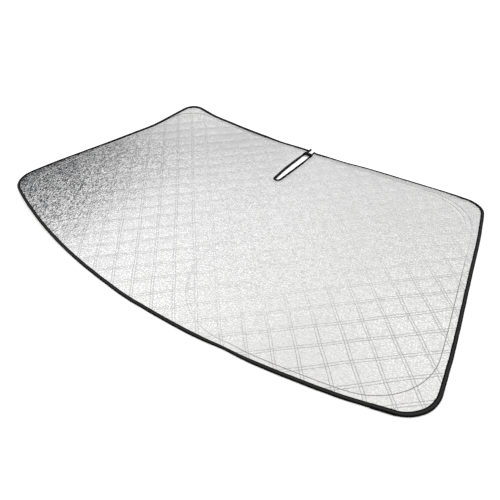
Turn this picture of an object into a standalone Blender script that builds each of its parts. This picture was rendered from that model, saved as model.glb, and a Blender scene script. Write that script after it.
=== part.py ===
"""Foldable windshield sun shade, laid open on the floor.

Units are metres, +Z is up, +X runs along the shade's width and +Y towards the edge with the mirror
slot. The origin is under the middle of the shade, on the floor. Every piece is first drawn flat, and
then follows the way the shade lies: its left end and far left corner stand off the floor.
"""

import math

import bmesh
import bpy
from mathutils import Vector

# Outline of the shade over its binding, given by the corners that its four edges would meet in
LOWER_WIDTH = 1.4250
UPPER_WIDTH = 1.1490
DEPTH = 0.8510
LOWER_EDGE_BOW = 0.1215
SIDE_BOW = 0.0060
UPPER_EDGE_DIP = 0.0084
LOWER_CORNER_RADIUS = 0.083
UPPER_CORNER_RADIUS = 0.062

# Mirror slot between its bound edges, which bow apart in the middle
SLOT_DEPTH = 0.218
SLOT_MOUTH_WIDTH = 0.0155
SLOT_MIDDLE_WIDTH = 0.0235
SLOT_END_WIDTH = 0.0150

# Quilted sheet: foil, foam and backing, stitched through in a square grid that runs corner-wise
SHEET_THICKNESS = 0.0020
QUILT_CELL = 0.0520
QUILT_TURN = math.radians(44.5)
QUILT_START = (-0.0196, -0.0090)
FRONT_PUFF = 0.0021
FRONT_CROWN = 0.0004
BACK_PUFF = 0.0012
PUFF_TOP_SHARE = 0.58
SMALLEST_PUFFED_SHARE = 0.12

# Binding tapes, folded over the sheet's edge, and the strap across the slot
TAPE_THICKNESS = 0.0014
TAPE_ROUNDING = 0.0016
EDGE_LIP = 0.0090
SLOT_LIP = 0.0065
STRAP_WIDTH = 0.020
STRAP_OVERLAP = 0.0080
STRAP_THICKNESS = 0.0012
STRAP_ROUNDING = 0.0004
STRAP_FROM_MOUTH = 0.030

# Spring hoops of flat steel strip, one in each half, and the tape channels that hold them
HOOP_STRIP_WIDTH = 0.0030
HOOP_STRIP_THICKNESS = 0.0007
HOOP_FROM_LOWER_EDGE = 0.0190
HOOP_FROM_SIDE = 0.0230
HOOP_FROM_UPPER_EDGE = 0.0230
HOOP_FROM_MIDDLE = 0.0580
HOOP_INNER_BOW = 0.0030
HOOP_LOWER_INNER_RADIUS = 0.205
HOOP_LOWER_OUTER_RADIUS = 0.155
HOOP_UPPER_OUTER_RADIUS = 0.150
HOOP_UPPER_INNER_RADIUS = 0.166
CASING_WIDTH = 0.0090
CASING_FLOOR = 0.0004
CASING_PLAY = 0.0008

# How the shade lies: the height of its left end, which is less on the far side, and that of its far
# left corner above it
LEFT_END_LIFT = 0.0215
FAR_SIDE_SINK = 0.0040
CORNER_CURL = 0.0310

# Gap between pieces that touch, and the room between a tape's lip and the quilting beside it
CLEARANCE = 0.0003
LIP_MARGIN = 0.0010

# Segments along each stretch of the outlines
LOWER_EDGE_STEPS = 13
CORNER_STEPS = 8
SIDE_STEPS = 17
UPPER_EDGE_STEPS = 12
SLOT_SIDE_STEPS = 4
SLOT_END_STEPS = 5
HOOP_CORNER_STEPS = 7
HOOP_EDGE_STEPS = 9

# Sizes that follow from the ones above
EDGE_TO_SHEET = TAPE_THICKNESS + CLEARANCE
SHEET_BOTTOM = TAPE_THICKNESS + CLEARANCE
SHEET_TOP = SHEET_BOTTOM + SHEET_THICKNESS
BOUND_THICKNESS = SHEET_TOP + CLEARANCE + TAPE_THICKNESS
CASING_HEIGHT = SHEET_BOTTOM - CLEARANCE
HOOP_BOTTOM = CASING_HEIGHT - HOOP_STRIP_THICKNESS

# Looks: colour, roughness and metal of each material
FOIL = ("foil", (0.72, 0.73, 0.74), 0.35, 0.85)
TAPE = ("tape", (0.02, 0.02, 0.022), 0.85, 0.0)
BACKING_CLOTH = ("backing_cloth", (0.06, 0.06, 0.065), 0.9, 0.0)
SPRING_STEEL = ("spring_steel", (0.45, 0.45, 0.47), 0.35, 1.0)

WELD_DISTANCE = 0.00001
SHARP_ANGLE = math.radians(40)
QUILTED = 1
COLLECTION_NAME = "windshield_sun_shade"


def clear_scene():
    """Remove every object that the file holds."""
    for item in list(bpy.data.objects):
        bpy.data.objects.remove(item, do_unlink=True)


def make_material(name, colour, roughness, metallic):
    """Return a Principled material of one colour."""
    material = bpy.data.materials.new(name)
    material.use_nodes = True
    shader = material.node_tree.nodes["Principled BSDF"]
    shader.inputs["Base Color"].default_value = (*colour, 1.0)
    shader.inputs["Roughness"].default_value = roughness
    shader.inputs["Metallic"].default_value = metallic
    return material


def lift(x, y):
    """Height that a point of the flat pattern gains where the lying shade stands off the floor."""
    towards_left = max(0.0, -x / (LOWER_WIDTH / 2))
    towards_far = max(0.0, y / (DEPTH / 2))
    corner_place = UPPER_WIDTH / LOWER_WIDTH
    from_near = min(1.0, max(0.0, 0.8 + 2 * y / DEPTH))
    end = (LEFT_END_LIFT - FAR_SIDE_SINK * from_near ** 2 * (3 - 2 * from_near)) * towards_left ** 2
    corner = CORNER_CURL * (towards_left / corner_place) ** 3 * towards_far ** 3
    return end + corner


# Outlines are chains of arcs. An arc is a centre and a radius, and a negative radius says that it is
# hollow. A path is a list of (point, outward normal) that keeps the shade on its left.

def bowed_edge(start, end, bow):
    """Return the arc through two points that bulges outwards by the given bow."""
    chord = end - start
    half = chord.length / 2
    radius = (half * half + bow * bow) / (2 * bow)
    outward = Vector((chord.y, -chord.x)).normalized()
    return (start + end) / 2 - outward * (radius - bow), radius


def moved_in(arc, distance):
    """Return an arc moved into the shade by a distance."""
    centre, radius = arc
    return centre, radius - distance


def corner_centre(first, second, radius, near):
    """Return the centre of the round corner between two arcs, the one closest to a point."""
    (centre_a, radius_a), (centre_b, radius_b) = first, second
    reach_a, reach_b = abs(radius_a - radius), abs(radius_b - radius)
    between = centre_b - centre_a
    along = (reach_a ** 2 - reach_b ** 2 + between.length_squared) / (2 * between.length)
    across = math.sqrt(max(0.0, reach_a ** 2 - along ** 2))
    axis = between.normalized()
    side = Vector((-axis.y, axis.x)) * across
    base = centre_a + axis * along
    return min((base + side, base - side), key=lambda point: (point - near).length)


def touch_point(arc, centre, radius):
    """Return where a round corner touches an arc."""
    arc_centre, arc_radius = arc
    outward = (centre - arc_centre) * math.copysign(1, arc_radius)
    return centre + outward.normalized() * radius


def arc_path(arc, start, end, steps):
    """Return the path along an arc from start to end, without its first point."""
    centre, radius = arc
    first = math.atan2(start.y - centre.y, start.x - centre.x)
    last = math.atan2(end.y - centre.y, end.x - centre.x)
    turn = (last - first + math.pi) % (2 * math.pi) - math.pi
    path = []
    for step in range(1, steps + 1):
        angle = first + turn * step / steps
        away = Vector((math.cos(angle), math.sin(angle)))
        path.append((centre + away * abs(radius), away * math.copysign(1, radius)))
    return path


def mirrored(path):
    """Return a path reflected to the other half, walked the other way so that it reads on."""
    flip = [(Vector((-p.x, p.y)), Vector((-n.x, n.y))) for p, n in path]
    return flip[::-1]


def points_of(path):
    """Return the points of a path."""
    return [point for point, normal in path]


def moved_points(path, distance):
    """Return the points of a path moved into the shade by a distance."""
    return [point - normal * distance for point, normal in path]


def outline_edges():
    """Return the arcs of the lower, right and upper edges, and the corners they would meet in."""
    lower_right = Vector((LOWER_WIDTH / 2, LOWER_EDGE_BOW - DEPTH / 2))
    upper_right = Vector((UPPER_WIDTH / 2, DEPTH / 2))
    lower_left = Vector((-lower_right.x, lower_right.y))
    upper_left = Vector((-upper_right.x, upper_right.y))
    lower = bowed_edge(lower_left, lower_right, LOWER_EDGE_BOW)
    side = bowed_edge(lower_right, upper_right, SIDE_BOW)
    upper = bowed_edge(upper_right, upper_left, -UPPER_EDGE_DIP)
    return lower, side, upper, lower_right, upper_right


def upper_edge_height(x):
    """Return the height of the bound upper edge at a distance from the middle."""
    centre, radius = outline_edges()[2]
    return centre.y - math.sqrt(radius ** 2 - x ** 2)


def edge_path(stop_x):
    """Return the path of the bound edge, from the slot's left side round to its right side."""
    lower, side, upper, lower_right, upper_right = outline_edges()
    low = corner_centre(lower, side, LOWER_CORNER_RADIUS, lower_right)
    high = corner_centre(side, upper, UPPER_CORNER_RADIUS, upper_right)
    touches = [touch_point(lower, low, LOWER_CORNER_RADIUS), touch_point(side, low, LOWER_CORNER_RADIUS),
               touch_point(side, high, UPPER_CORNER_RADIUS), touch_point(upper, high, UPPER_CORNER_RADIUS)]
    middle = Vector((0.0, -DEPTH / 2))
    stop = Vector((stop_x, upper_edge_height(stop_x)))
    half = arc_path(lower, middle, touches[0], LOWER_EDGE_STEPS)
    half += arc_path((low, LOWER_CORNER_RADIUS), touches[0], touches[1], CORNER_STEPS)
    half += arc_path(side, touches[1], touches[2], SIDE_STEPS)
    half += arc_path((high, UPPER_CORNER_RADIUS), touches[2], touches[3], CORNER_STEPS)
    half += arc_path(upper, touches[3], stop, UPPER_EDGE_STEPS)
    return mirrored(half) + [(middle, Vector((0.0, -1.0)))] + half


def slot_path():
    """Return the path of the slot's bound edge, from its right mouth to its left mouth."""
    mouth_x = SLOT_MOUTH_WIDTH / 2
    end_radius = SLOT_END_WIDTH / 2
    mouth = Vector((mouth_x, upper_edge_height(mouth_x)))
    end_centre = Vector((0.0, mouth.y - SLOT_DEPTH + end_radius))
    end_side = end_centre + Vector((end_radius, 0.0))
    end_middle = end_centre - Vector((0.0, end_radius))
    bow = (mouth_x + end_radius - SLOT_MIDDLE_WIDTH) / 2
    side = bowed_edge(mouth, end_side, bow)
    half = [(mouth, (side[0] - mouth).normalized())]
    half += arc_path(side, mouth, end_side, SLOT_SIDE_STEPS)
    half += arc_path((end_centre, -end_radius), end_side, end_middle, SLOT_END_STEPS)
    return half + mirrored(half)[1:]


def sheet_outline(edge_distance, slot_distance):
    """Return the closed outline that lies inside the bound edge and the slot by two distances."""
    slot = slot_path()
    edge = edge_path(SLOT_MOUTH_WIDTH / 2)
    points = moved_points(edge[1:-1], edge_distance)
    for place, end in ((len(points), 0), (0, -1)):
        mouth, normal = slot[end]
        corner = mouth - normal * slot_distance - Vector((0.0, edge_distance))
        points.insert(place, corner)
    return points + moved_points(slot[1:-1], slot_distance)


def hoop_path():
    """Return the closed path of the right hoop's strip, along its middle."""
    lower, side, upper, lower_right, upper_right = outline_edges()
    lower = moved_in(lower, HOOP_FROM_LOWER_EDGE)
    side = moved_in(side, HOOP_FROM_SIDE)
    upper = moved_in(upper, HOOP_FROM_UPPER_EDGE)
    inner_top = Vector((HOOP_FROM_MIDDLE, DEPTH / 2))
    inner_bottom = Vector((HOOP_FROM_MIDDLE, -DEPTH / 2))
    inner = bowed_edge(inner_top, inner_bottom, HOOP_INNER_BOW)
    arcs = [lower, side, upper, inner]
    radii = [HOOP_LOWER_OUTER_RADIUS, HOOP_UPPER_OUTER_RADIUS, HOOP_UPPER_INNER_RADIUS,
             HOOP_LOWER_INNER_RADIUS]
    nears = [lower_right, upper_right, inner_top, inner_bottom]
    corners = [corner_centre(arcs[k], arcs[(k + 1) % 4], radii[k], nears[k]) for k in range(4)]
    path = []
    for k in range(4):
        following = (k + 1) % 4
        onto = touch_point(arcs[k], corners[k], radii[k])
        off = touch_point(arcs[following], corners[k], radii[k])
        onward = touch_point(arcs[following], corners[following], radii[following])
        path += arc_path((corners[k], radii[k]), onto, off, HOOP_CORNER_STEPS)
        path += arc_path(arcs[following], off, onward, HOOP_EDGE_STEPS)
    return path


def binding_section(lip):
    """Return the section of a folded tape, as distances in from the edge and heights."""
    top, inside_top = BOUND_THICKNESS, BOUND_THICKNESS - TAPE_THICKNESS
    return [(lip, 0.0), (TAPE_ROUNDING, 0.0), (0.0, TAPE_ROUNDING), (0.0, top - TAPE_ROUNDING),
            (TAPE_ROUNDING, top), (lip, top), (lip, inside_top), (TAPE_THICKNESS, inside_top),
            (TAPE_THICKNESS, TAPE_THICKNESS), (lip, TAPE_THICKNESS)]


def strip_section(width, bottom, top):
    """Return a flat strip's section, centred on its path."""
    half = width / 2
    return [(-half, bottom), (half, bottom), (half, top), (-half, top)]


def casing_section():
    """Return the section of a hoop's tape channel, open towards the sheet."""
    outer = CASING_WIDTH / 2
    inner = HOOP_STRIP_WIDTH / 2 + CASING_PLAY
    return [(-outer, 0.0), (outer, 0.0), (outer, CASING_HEIGHT), (inner, CASING_HEIGHT),
            (inner, CASING_FLOOR), (-inner, CASING_FLOOR), (-inner, CASING_HEIGHT),
            (-outer, CASING_HEIGHT)]


def curve_data(name, points, closed):
    """Return a curve of one straight-sided spline through flat points."""
    data = bpy.data.curves.new(name, "CURVE")
    data.dimensions = "3D"
    data.twist_mode = "Z_UP"
    spline = data.splines.new("POLY")
    spline.points.add(len(points) - 1)
    for target, (x, y) in zip(spline.points, points):
        target.co = (x, y, 0.0, 1.0)
    spline.use_cyclic_u = closed
    return data


def add_mesh_object(name, bm, material, collection):
    """Lay a flat-drawn body the way the shade lies and link it as an object."""
    bmesh.ops.recalc_face_normals(bm, faces=bm.faces)
    for vertex in bm.verts:
        vertex.co.z += lift(vertex.co.x, vertex.co.y)
    mesh = bpy.data.meshes.new(name)
    bm.to_mesh(mesh)
    bm.free()
    mesh.materials.clear()
    mesh.materials.append(material)
    mesh.shade_smooth()
    mesh.set_sharp_from_angle(angle=SHARP_ANGLE)
    item = bpy.data.objects.new(name, mesh)
    collection.objects.link(item)
    return item


def sweep(name, points, section, closed, material, collection):
    """Sweep a section along a path: its first measure runs to the left of the path, into the shade."""
    guide = bpy.data.objects.new(name + "_section", curve_data(name + "_section", section, True))
    collection.objects.link(guide)
    path = curve_data(name + "_path", points[::-1], closed)
    path.bevel_mode = "OBJECT"
    path.bevel_object = guide
    path.use_fill_caps = not closed
    rail = bpy.data.objects.new(name + "_path", path)
    collection.objects.link(rail)
    bpy.context.view_layer.update()
    evaluated = rail.evaluated_get(bpy.context.evaluated_depsgraph_get())
    swept = bpy.data.meshes.new_from_object(evaluated)
    bm = bmesh.new()
    bm.from_mesh(swept)
    bmesh.ops.remove_doubles(bm, verts=bm.verts, dist=WELD_DISTANCE)
    for leftover in (rail, guide):
        bpy.data.objects.remove(leftover, do_unlink=True)
    return add_mesh_object(name, bm, material, collection)


def quilted_faces(bm, keep=lambda face: True):
    """Return the faces of the quilted field that pass a test."""
    return [face for face in bm.faces if face.material_index == QUILTED and keep(face)]


def flat_sheet():
    """Return the flat sheet: a plain rim under the tapes and a field cut into quilt cells."""
    rim = sheet_outline(EDGE_TO_SHEET, EDGE_TO_SHEET)
    field = sheet_outline(EDGE_LIP + LIP_MARGIN, SLOT_LIP + LIP_MARGIN)
    bm = bmesh.new()
    field_face = bm.faces.new([bm.verts.new((x, y, 0.0)) for x, y in field])
    field_face.material_index = QUILTED
    inner = list(field_face.verts)
    bmesh.ops.extrude_edge_only(bm, edges=field_face.edges)
    for vertex, (x, y) in zip(inner, rim):
        outer = next(e.other_vert(vertex) for e in vertex.link_edges if e.other_vert(vertex) not in inner)
        outer.co = (x, y, 0.0)
    for face in bm.faces:
        face.material_index = QUILTED if face is field_face else 0
    across = int(math.hypot(LOWER_WIDTH, DEPTH) / QUILT_CELL)
    start = Vector((*QUILT_START, 0.0))
    for turn in (QUILT_TURN, QUILT_TURN + math.pi / 2):
        normal = Vector((math.cos(turn), math.sin(turn), 0.0))
        for line in range(-across, across + 1):
            cells = quilted_faces(bm)
            geometry = {*cells, *(e for f in cells for e in f.edges), *(v for f in cells for v in f.verts)}
            bmesh.ops.bisect_plane(bm, geom=list(geometry), dist=WELD_DISTANCE,
                                   plane_co=start + normal * line * QUILT_CELL, plane_no=normal)
    bmesh.ops.connect_verts_concave(bm, faces=quilted_faces(bm))
    return bm


def puff_height(face, full):
    """Return a cell's puff: full on a whole cell, less on one that the rim cuts small."""
    share = face.calc_area() / QUILT_CELL ** 2
    return full * math.sqrt(min(1.0, share)) if share > SMALLEST_PUFFED_SHARE else 0.0


def holds_any(face, places):
    """Say whether a flat convex cell holds any of the places."""
    corners = [loop.vert.co for loop in face.loops]
    pairs = list(zip(corners, corners[1:] + corners[:1]))
    for x, y in places:
        sides = [(b.x - a.x) * (y - a.y) - (b.y - a.y) * (x - a.x) for a, b in pairs]
        if min(sides) >= 0 or max(sides) <= 0:
            return True
    return False


def casing_marks():
    """Return places that cover both hoop casings closely enough to find each cell they cross."""
    path = hoop_path()
    marks = []
    for (first, normal_a), (second, normal_b) in zip(path, path[1:] + path[:1]):
        count = max(1, math.ceil((second - first).length / CASING_WIDTH))
        for step in range(count):
            share = step / count
            middle, normal = first.lerp(second, share), normal_a.lerp(normal_b, share)
            for side in (-0.5, 0.0, 0.5):
                x, y = middle + normal * side * (CASING_WIDTH + 2 * LIP_MARGIN)
                marks += [(x, y), (-x, y)]
    return marks


def make_quilted_panel(material, collection):
    """Build the sheet: pillow-shaped cells in front, shallower ones behind, flat over the casings."""
    bm = flat_sheet()
    geometry = bm.verts[:] + bm.edges[:] + bm.faces[:]
    raised = bmesh.ops.extrude_face_region(bm, geom=geometry, use_keep_orig=True)["geom"]
    top_vertices = [item for item in raised if isinstance(item, bmesh.types.BMVert)]
    bmesh.ops.translate(bm, verts=top_vertices, vec=(0.0, 0.0, SHEET_THICKNESS))
    bmesh.ops.recalc_face_normals(bm, faces=bm.faces)

    half = SHEET_THICKNESS / 2
    front = quilted_faces(bm, lambda face: face.calc_center_median().z > half)
    heights = [puff_height(face, 1.0) for face in front]
    tops = bmesh.ops.extrude_discrete_faces(bm, faces=front)["faces"]
    for face, height in zip(tops, heights):
        centre = face.calc_center_median()
        for vertex in face.verts:
            vertex.co = centre + (vertex.co - centre) * PUFF_TOP_SHARE
            vertex.co.z += FRONT_PUFF * height
        bmesh.ops.poke(bm, faces=[face], offset=FRONT_CROWN * height)

    marks = casing_marks()
    back = quilted_faces(bm, lambda face: face.calc_center_median().z < half)
    for face in back:
        if not holds_any(face, marks):
            bmesh.ops.poke(bm, faces=[face], offset=puff_height(face, BACK_PUFF))
    bmesh.ops.remove_doubles(bm, verts=bm.verts, dist=WELD_DISTANCE)
    bmesh.ops.translate(bm, verts=bm.verts, vec=(0.0, 0.0, SHEET_BOTTOM))
    return add_mesh_object("quilted_panel", bm, material, collection)


def make_bindings(material, collection):
    """Fold one tape over the whole rim and one over the slot's edge, where its left end stands out."""
    gap = SLOT_MOUTH_WIDTH / 2 + SLOT_LIP + LIP_MARGIN + CLEARANCE
    edge = points_of(edge_path(gap))
    sweep("edge_binding", edge, binding_section(EDGE_LIP), False, material, collection)
    slot = points_of(slot_path())
    left_tip = Vector((slot[-1].x, DEPTH / 2))
    sweep("slot_binding", slot + [left_tip], binding_section(SLOT_LIP), False, material, collection)


def make_strap(material, collection):
    """Lay the short strap across the slot's bound edges, near its mouth."""
    bm = bmesh.new()
    bmesh.ops.create_cube(bm, size=1.0)
    length = SLOT_MIDDLE_WIDTH + 2 * STRAP_OVERLAP
    bmesh.ops.scale(bm, verts=bm.verts, vec=(length, STRAP_WIDTH, STRAP_THICKNESS))
    centre_y = upper_edge_height(0.0) - STRAP_FROM_MOUTH
    height = BOUND_THICKNESS + CLEARANCE + STRAP_THICKNESS / 2
    bmesh.ops.translate(bm, verts=bm.verts, vec=(0.0, centre_y, height))
    bmesh.ops.bevel(bm, geom=bm.edges[:], offset=STRAP_ROUNDING, segments=1, profile=0.5,
                    affect="EDGES")
    add_mesh_object("slot_strap", bm, material, collection)


def make_hoops(steel, cloth, collection):
    """Run a steel strip and its casing round each half."""
    right = points_of(hoop_path())
    left = [Vector((-point.x, point.y)) for point in right][::-1]
    strip = strip_section(HOOP_STRIP_WIDTH, HOOP_BOTTOM, CASING_HEIGHT)
    for side, loop in (("left", left), ("right", right)):
        sweep(side + "_hoop", loop, strip, True, steel, collection)
        sweep(side + "_hoop_casing", loop, casing_section(), True, cloth, collection)


def main():
    """Build the whole shade."""
    clear_scene()
    collection = bpy.data.collections.new(COLLECTION_NAME)
    bpy.context.scene.collection.children.link(collection)
    foil, tape, cloth, steel = (make_material(*look) for look in (FOIL, TAPE, BACKING_CLOTH, SPRING_STEEL))
    make_quilted_panel(foil, collection)
    make_bindings(tape, collection)
    make_strap(tape, collection)
    make_hoops(steel, cloth, collection)


main()
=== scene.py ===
"""Foldable windshield sun shade, dressed with its foil quilting, sewn tapes, hoop channels and backing.

Units are metres. +X runs along the shade's width, +Y towards the edge with the mirror slot, and +Z is
up. Every piece is drawn flat from the shade's own pattern, and then laid the way the shade lies.
"""

import logging
import math
from dataclasses import dataclass
from enum import Enum
from typing import Callable, NamedTuple, Optional, Sequence, Union

import bmesh
import bpy
import numpy as np
from mathutils import Matrix, Vector, noise


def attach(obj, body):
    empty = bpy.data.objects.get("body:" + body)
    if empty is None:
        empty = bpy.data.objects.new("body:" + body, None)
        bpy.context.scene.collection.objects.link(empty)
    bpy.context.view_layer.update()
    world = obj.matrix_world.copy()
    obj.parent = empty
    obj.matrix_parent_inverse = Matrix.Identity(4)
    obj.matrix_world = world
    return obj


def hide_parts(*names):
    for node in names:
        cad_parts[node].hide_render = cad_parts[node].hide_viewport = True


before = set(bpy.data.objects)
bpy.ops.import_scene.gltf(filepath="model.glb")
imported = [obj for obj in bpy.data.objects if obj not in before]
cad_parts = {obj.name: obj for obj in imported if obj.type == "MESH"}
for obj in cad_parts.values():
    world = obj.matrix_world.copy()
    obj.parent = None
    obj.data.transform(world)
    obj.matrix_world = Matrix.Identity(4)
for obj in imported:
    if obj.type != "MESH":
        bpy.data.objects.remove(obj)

log = logging.getLogger("sun_shade")

WELD = 1e-6

Array = np.ndarray
Material = bpy.types.Material
Socket = bpy.types.NodeSocket
Tree = bpy.types.NodeTree
Pair = tuple[float, float]
Spot = tuple[float, float, float, float]
Places = list[tuple[Vector, Vector]]
SocketValue = Union[Socket, float, Sequence[float]]


class Side(Enum):
    """The two halves of the shade. The value is the sign of x there."""

    LEFT = -1
    RIGHT = 1


def smooth(share: Array) -> Array:
    """Return a share eased at both ends and held between 0 and 1."""
    held = np.clip(share, 0.0, 1.0)
    return held * held * (3 - 2 * held)


def ease(value: Array, start: float, over: float) -> Array:
    """Return a share that grows from 0, where a value passes a start, to 1 some room further on."""
    return smooth((value - start) / over)


def hill(x: Array, y: Array, place_x: float, place_y: float, reach: float) -> Array:
    """Return 1 at a place, falling softly to 0 round it."""
    return np.exp(-((x - place_x) ** 2 + (y - place_y) ** 2) / reach ** 2)


def hills(x: Array, y: Array, spots: Sequence[Spot]) -> Array:
    """Return the sum of hills, each given as its height, its place and its reach."""
    return sum(height * hill(x, y, *place) for height, *place in spots)


# Flat pattern of the shade

@dataclass(frozen=True)
class Arc:
    """One circular stretch of an outline. A negative radius says that the stretch is hollow.

    The outline is walked with the shade on its left.
    """

    centre: Vector
    radius: float

    @classmethod
    def through(cls, start: Vector, end: Vector, bow: float) -> "Arc":
        """Return the arc from start to end that bulges outwards by the bow.

        Args:
            start: First point of the stretch.
            end: Last point of the stretch.
            bow: Height of the bulge over the straight line, negative for a hollow.

        Returns:
            The arc.
        """
        chord = end - start
        half = chord.length / 2
        radius = (half * half + bow * bow) / (2 * bow)
        outward = Vector((chord.y, -chord.x)).normalized()
        return cls((start + end) / 2 - outward * (radius - bow), radius)

    def moved_in(self, distance: float) -> "Arc":
        """Return the same arc moved into the shade by a distance."""
        return Arc(self.centre, self.radius - distance)

    def touch(self, corner: "Arc") -> Vector:
        """Return the point where a round corner touches this arc."""
        outward = (corner.centre - self.centre) * math.copysign(1, self.radius)
        return corner.centre + outward.normalized() * corner.radius

    def corner(self, other: "Arc", radius: float, near: Vector) -> "Arc":
        """Return the round corner between this arc and the next one.

        Args:
            other: The arc that follows.
            radius: Radius of the corner.
            near: The point where the two arcs would meet.

        Returns:
            The corner as an arc.
        """
        reach, reach_other = abs(self.radius - radius), abs(other.radius - radius)
        between = other.centre - self.centre
        along = (reach ** 2 - reach_other ** 2 + between.length_squared) / (2 * between.length)
        across = math.sqrt(max(0.0, reach ** 2 - along ** 2))
        axis = between.normalized()
        base = self.centre + axis * along
        side = Vector((-axis.y, axis.x)) * across
        centre = min((base + side, base - side), key=lambda point: (point - near).length)
        return Arc(centre, radius)

    def walk(self, start: Vector, end: Vector, spacing: float) -> Places:
        """Return points and outward directions from start to end, without the first point.

        Args:
            start: Where the walk starts on the arc.
            end: Where it ends.
            spacing: The most room between two points.

        Returns:
            A list of (point, outward direction).
        """
        first = math.atan2(start.y - self.centre.y, start.x - self.centre.x)
        last = math.atan2(end.y - self.centre.y, end.x - self.centre.x)
        turn = (last - first + math.pi) % (2 * math.pi) - math.pi
        count = math.ceil(abs(turn * self.radius) / spacing)
        places = []
        for step in range(1, count + 1):
            angle = first + turn * step / count
            away = Vector((math.cos(angle), math.sin(angle)))
            places.append((self.centre + away * abs(self.radius), away * math.copysign(1, self.radius)))
        return places

    def inward(self, x: Array, y: Array) -> Array:
        """Return how far points lie inside the arc, on the shade's side of it."""
        away = np.hypot(x - self.centre.x, y - self.centre.y)
        return (abs(self.radius) - away) * math.copysign(1, self.radius)


def mirrored(places: Places) -> Places:
    """Return places and their directions on the other side of the shade."""
    return [(Vector((-p.x, p.y)), Vector((-n.x, n.y))) for p, n in places]


class Line(NamedTuple):
    """A line sampled along its length: points, outward directions and distances walked."""

    points: Array
    outward: Array
    along: Array
    closed: bool


def sampled_line(places: Places, closed: bool) -> Line:
    """Return a line through places.

    Args:
        places: Points with their outward directions.
        closed: Whether the line comes back to its first point, which is then repeated at its end.

    Returns:
        The line.
    """
    listed = list(places) + ([places[0]] if closed else [])
    points = np.array([tuple(point) for point, _ in listed])
    outward = np.array([tuple(direction) for _, direction in listed])
    steps = np.hypot(*np.diff(points, axis=0).T)
    return Line(points, outward, np.concatenate([[0.0], np.cumsum(steps)]), closed)


@dataclass(frozen=True)
class Chain:
    """A closed outline of arcs, each joined to the next by a round corner."""

    arcs: tuple[Arc, ...]
    corners: tuple[Arc, ...]

    def places(self, spacing: float, start: Optional[Vector] = None,
               end: Optional[Vector] = None) -> Places:
        """Walk round the outline, from one point of the first arc to another.

        Args:
            spacing: The most room between two points.
            start: First point, or None for a full round from the last corner.
            end: Last point, or None for a full round.

        Returns:
            A list of (point, outward direction).
        """
        first = self.arcs[0]
        at = start or first.touch(self.corners[-1])
        away = (at - first.centre).normalized() * math.copysign(1, first.radius)
        places = [(at, away)]
        for index, corner in enumerate(self.corners):
            following = self.arcs[(index + 1) % len(self.arcs)]
            onto, off = self.arcs[index].touch(corner), following.touch(corner)
            places += self.arcs[index].walk(at, onto, spacing) + corner.walk(onto, off, spacing)
            at = off
        return places + first.walk(at, end, spacing) if end else places[:-1]

    def inward(self, x: Array, y: Array) -> Array:
        """Return how far points lie inside the outline."""
        distance = np.minimum.reduce([arc.inward(x, y) for arc in self.arcs])
        for index, corner in enumerate(self.corners):
            following = self.arcs[(index + 1) % len(self.arcs)]
            a = self.arcs[index].touch(corner) - corner.centre
            b = following.touch(corner) - corner.centre
            px, py = x - corner.centre.x, y - corner.centre.y
            held = (a.x * py - a.y * px > 0) & (px * b.y - py * b.x > 0)
            distance = np.where(held, corner.inward(x, y), distance)
        return distance


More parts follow.
